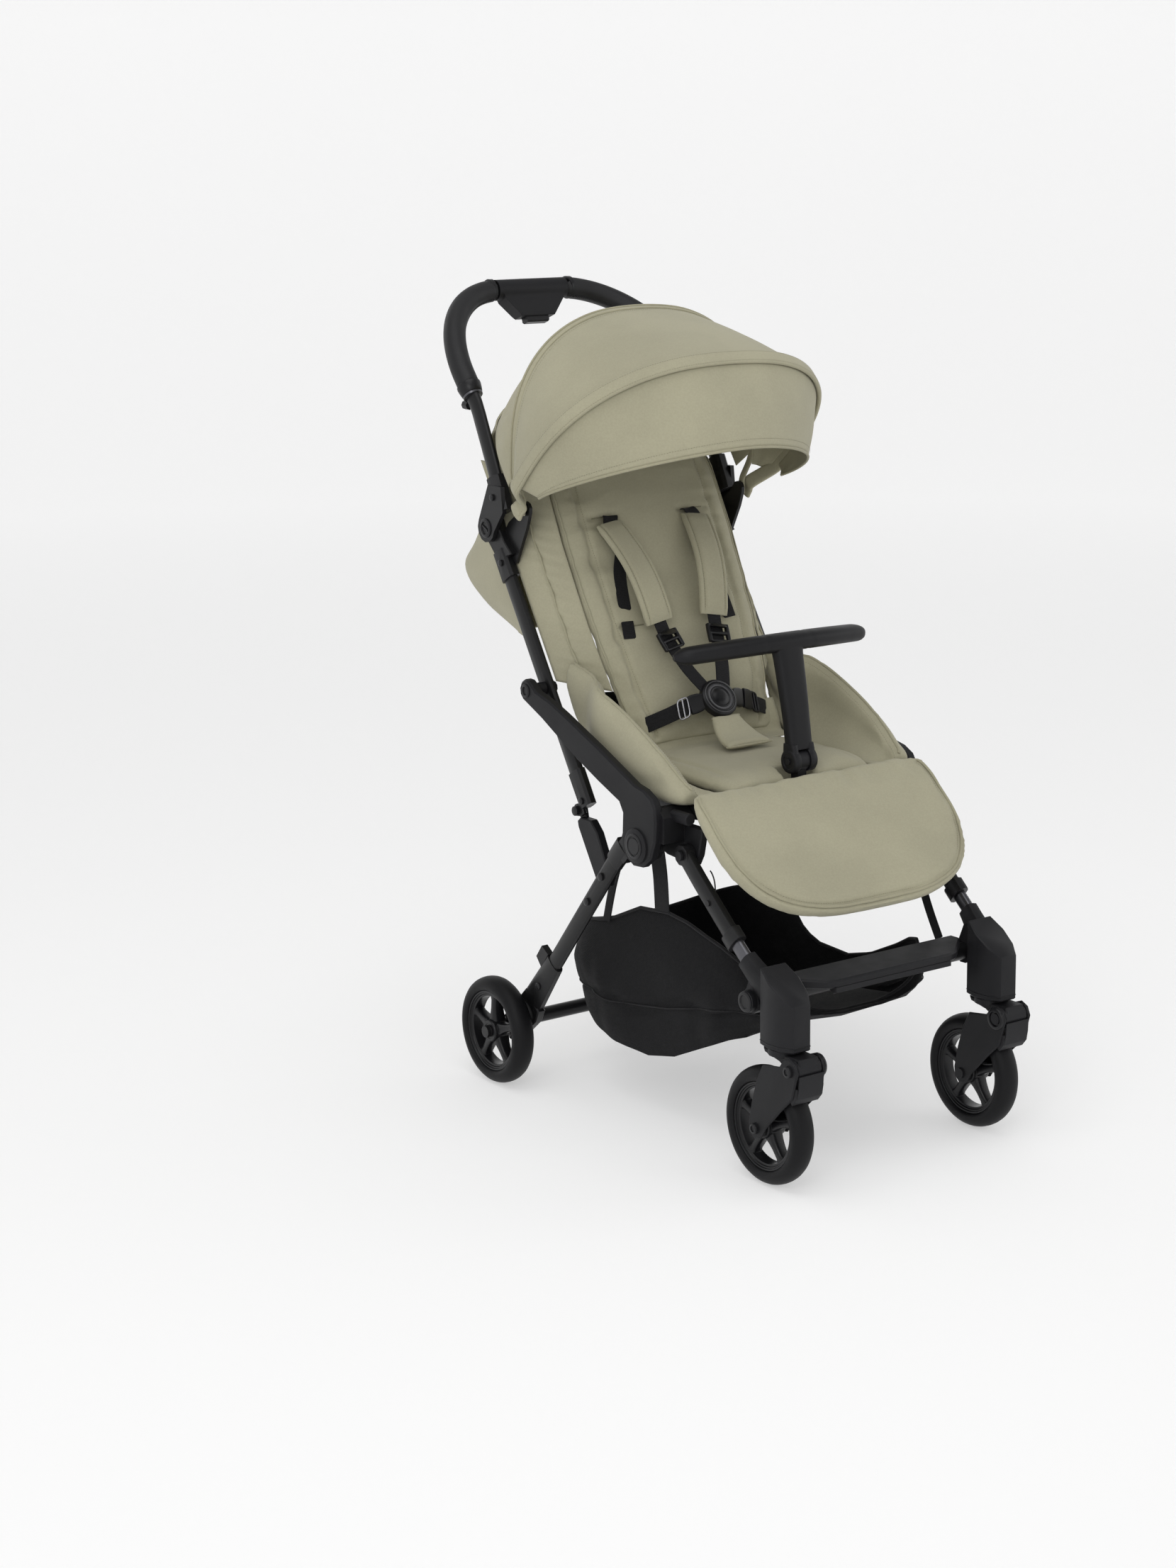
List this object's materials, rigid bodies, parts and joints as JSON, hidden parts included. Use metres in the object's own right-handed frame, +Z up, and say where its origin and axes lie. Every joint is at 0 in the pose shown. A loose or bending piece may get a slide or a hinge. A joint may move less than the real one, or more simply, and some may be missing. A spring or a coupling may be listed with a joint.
{
  "type": "folding stroller",
  "caption": "Folding travel stroller with padded seat, harness, bumper bar, extending canopy, slung basket, bent push handle, swivelling front wheels and a linked folding frame.",
  "frame": {"origin": "centre of the footprint box, on the floor under the wheels", "axes": "+Z up, -Y the way the child faces, +X the stroller's left-hand side seen from the front"},
  "size_m": [0.476, 0.8283, 1.0407],
  "materials": {
    "fabric_sage": "woven",
    "fabric_black": "woven mesh",
    "webbing": "woven webbing",
    "plastic": "fine grain",
    "tube": "satin",
    "tyre": "matt",
    "grip": "soft"
  },
  "bodies": {
    "seat_frame": {"arm_L": "plastic", "arm_R": "plastic", "seat_rail": "tube", "seat_pad": "fabric_sage", "bolster_L": "fabric_sage", "bolster_R": "fabric_sage", "bumper_mount": "plastic", "buckle": "plastic", "waist_strap_L": "webbing", "waist_strap_R": "webbing", "crotch_cover": "fabric_sage", "basket": "fabric_black"},
    "rear_legs": {"rear_leg_L": "tube", "rear_leg_R": "tube", "rear_axle": "tube"},
    "front_legs": {"front_leg_L": "tube", "front_leg_R": "tube", "cross_tube": "tube", "footboard": "plastic", "caster_housing_L": "plastic", "caster_housing_R": "plastic"},
    "back_frame": {"back_tube_L": "tube", "back_tube_R": "tube", "side_panel_L": "fabric_sage", "side_panel_R": "fabric_sage", "rear_flap": "fabric_sage", "canopy_rear_panel": "fabric_sage"},
    "links": {"link_L": "plastic", "link_R": "plastic"},
    "handle": {"handle_tube": "tube", "grip_L": "grip", "grip_R": "grip", "handle_centre": "plastic"},
    "release_button_body": {"release_button": "plastic"},
    "backrest": {"back_pad": "fabric_sage", "shoulder_pad_L": "fabric_sage", "shoulder_pad_R": "fabric_sage", "shoulder_strap_L": "webbing", "shoulder_strap_R": "webbing"},
    "leg_rest_body": {"leg_rest": "fabric_sage"},
    "bumper": {"bumper_bar": "plastic"},
    "buckle_button_body": {"buckle_button": "plastic"},
    "canopy_mid": {"mid_bow": "fabric_sage"},
    "canopy_front": {"front_bow": "fabric_sage", "canopy_front_panel": "fabric_sage"},
    "visor_body": {"visor": "fabric_sage"},
    "brake": {"brake_pedal": "plastic"},
    "caster_L": {"knuckle_L": "plastic"},
    "fork_body_L": {"fork_L": "plastic"},
    "front_wheel_L": {"front_rim_L": "plastic", "front_tyre_L": "tyre"},
    "rear_wheel_L": {"rear_rim_L": "plastic", "rear_tyre_L": "tyre"},
    "caster_R": {"knuckle_R": "plastic"},
    "fork_body_R": {"fork_R": "plastic"},
    "front_wheel_R": {"front_rim_R": "plastic", "front_tyre_R": "tyre"},
    "rear_wheel_R": {"rear_rim_R": "plastic", "rear_tyre_R": "tyre"}
  },
  "joints": [
    {"name": "frame_fold", "type": "hinge", "parent": "seat_frame", "child": "rear_legs", "pos_m": [0, -0.13, 0.383], "axis": [1, 0, 0], "range_deg": [0, 40], "deforming": ["basket", "bolster_L", "bolster_R"]},
    {"name": "front_leg_fold", "type": "hinge", "parent": "seat_frame", "child": "front_legs", "pos_m": [0, -0.186, 0.378], "axis": [1, 0, 0], "range_deg": [0, 60]},
    {"name": "back_fold", "type": "hinge", "parent": "seat_frame", "child": "back_frame", "pos_m": [0, 0.1075, 0.5388], "axis": [1, 0, 0], "range_deg": [-46, 0]},
    {"name": "link_fold", "type": "hinge", "parent": "back_frame", "child": "links", "pos_m": [0, 0.037, 0.391], "axis": [1, 0, 0], "range_deg": [0, 124]},
    {"name": "handle_fold", "type": "hinge", "parent": "back_frame", "child": "handle", "pos_m": [0, 0.228, 0.733], "axis": [1, 0, 0], "range_deg": [-150, 0]},
    {"name": "backrest_recline", "type": "hinge", "parent": "seat_frame", "child": "backrest", "pos_m": [0, 0.004, 0.462], "axis": [1, 0, 0], "range_deg": [-25, 0], "deforming": ["rear_flap", "shoulder_strap_L", "shoulder_strap_R"]},
    {"name": "leg_rest_tilt", "type": "hinge", "parent": "seat_frame", "child": "leg_rest_body", "pos_m": [0, -0.195, 0.457], "axis": [1, 0, 0], "range_deg": [-44, 0]},
    {"name": "bumper_swing", "type": "hinge", "parent": "seat_frame", "child": "bumper", "pos_m": [0, -0.184, 0.471], "axis": [1, 0, 0], "range_deg": [0, 75]},
    {"name": "canopy_front_fold", "type": "hinge", "parent": "canopy_mid", "child": "canopy_front", "pos_m": [0, 0.159, 0.763], "axis": [1, 0, 0], "range_deg": [-35, 0], "deforming": ["canopy_front_panel"]},
    {"name": "canopy_mid_fold", "type": "hinge", "parent": "back_frame", "child": "canopy_mid", "pos_m": [0, 0.159, 0.763], "axis": [1, 0, 0], "range_deg": [-12.25, 0], "deforming": ["canopy_rear_panel"]},
    {"name": "visor_flip", "type": "hinge", "parent": "canopy_front", "child": "visor_body", "pos_m": [0, 0.159, 0.763], "axis": [1, 0, 0], "range_deg": [-20, 0], "deforming": ["visor"]},
    {"name": "brake_press", "type": "hinge", "parent": "rear_legs", "child": "brake", "pos_m": [0, 0.172, 0.08], "axis": [1, 0, 0], "range_deg": [-15, 0]},
    {"name": "release_press", "type": "slide", "parent": "handle", "child": "release_button_body", "axis": [0, 0.3489, 0.9371], "range_m": [0, 0.008], "stiffness_N_per_m": 300, "springref_m": -0.004},
    {"name": "buckle_press", "type": "slide", "parent": "seat_frame", "child": "buckle_button_body", "axis": [0, 0.8, -0.6], "range_m": [0, 0.003], "stiffness_N_per_m": 300, "springref_m": -0.003},
    {"name": "swivel_L", "type": "hinge", "parent": "front_legs", "child": "caster_L", "pos_m": [-0.1655, -0.363, 0.178], "axis": [0, 0, 1], "continuous": true},
    {"name": "suspension_L", "type": "hinge", "parent": "caster_L", "child": "fork_body_L", "pos_m": [-0.1655, -0.396, 0.16], "axis": [1, 0, 0], "range_deg": [0, 6], "stiffness_Nm_per_rad": 25, "springref_deg": -5.73},
    {"name": "front_wheel_spin_L", "type": "hinge", "parent": "fork_body_L", "child": "front_wheel_L", "pos_m": [-0.1655, -0.333, 0.0728], "axis": [1, 0, 0], "continuous": true},
    {"name": "rear_wheel_spin_L", "type": "hinge", "parent": "rear_legs", "child": "rear_wheel_L", "pos_m": [-0.218, 0.178, 0.0715], "axis": [1, 0, 0], "continuous": true},
    {"name": "swivel_R", "type": "hinge", "parent": "front_legs", "child": "caster_R", "pos_m": [0.1655, -0.363, 0.178], "axis": [0, 0, 1], "continuous": true},
    {"name": "suspension_R", "type": "hinge", "parent": "caster_R", "child": "fork_body_R", "pos_m": [0.1655, -0.396, 0.16], "axis": [1, 0, 0], "range_deg": [0, 6], "stiffness_Nm_per_rad": 25, "springref_deg": -5.73},
    {"name": "front_wheel_spin_R", "type": "hinge", "parent": "fork_body_R", "child": "front_wheel_R", "pos_m": [0.1655, -0.333, 0.0728], "axis": [1, 0, 0], "continuous": true},
    {"name": "rear_wheel_spin_R", "type": "hinge", "parent": "rear_legs", "child": "rear_wheel_R", "pos_m": [0.218, 0.178, 0.0715], "axis": [1, 0, 0], "continuous": true}
  ],
  "couplings": [
    {"joint": "front_leg_fold", "follows": "frame_fold", "ratio": 1.5},
    {"joint": "back_fold", "follows": "frame_fold", "ratio": -1.15},
    {"joint": "link_fold", "follows": "frame_fold", "ratio": 3.1},
    {"joint": "canopy_mid_fold", "follows": "canopy_front_fold", "ratio": 0.35}
  ]
}
